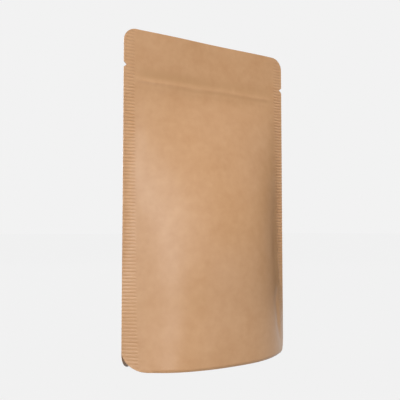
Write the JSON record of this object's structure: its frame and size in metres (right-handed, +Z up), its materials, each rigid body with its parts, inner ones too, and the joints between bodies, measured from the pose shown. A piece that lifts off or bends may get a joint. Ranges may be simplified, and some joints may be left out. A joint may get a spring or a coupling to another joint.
{
  "type": "stand-up pouch",
  "caption": "Filled stand-up pouch of plain kraft paper laminate: ribbed side seals, tear notches, a press-to-close zip line and a rounded bottom gusset that stands on a thin skirt.",
  "frame": {"origin": "on the floor, under the middle of the pouch", "axes": "+X along the width, to the right seen from the front; +Y from the front web to the back web, so the front faces -Y; +Z up, from the foot to the top edge"},
  "size_m": [0.12, 0.0528, 0.2],
  "materials": {
    "kraft_laminate": "satin"
  },
  "bodies": {
    "root": {"pouch": "kraft_laminate"}
  },
  "joints": []
}
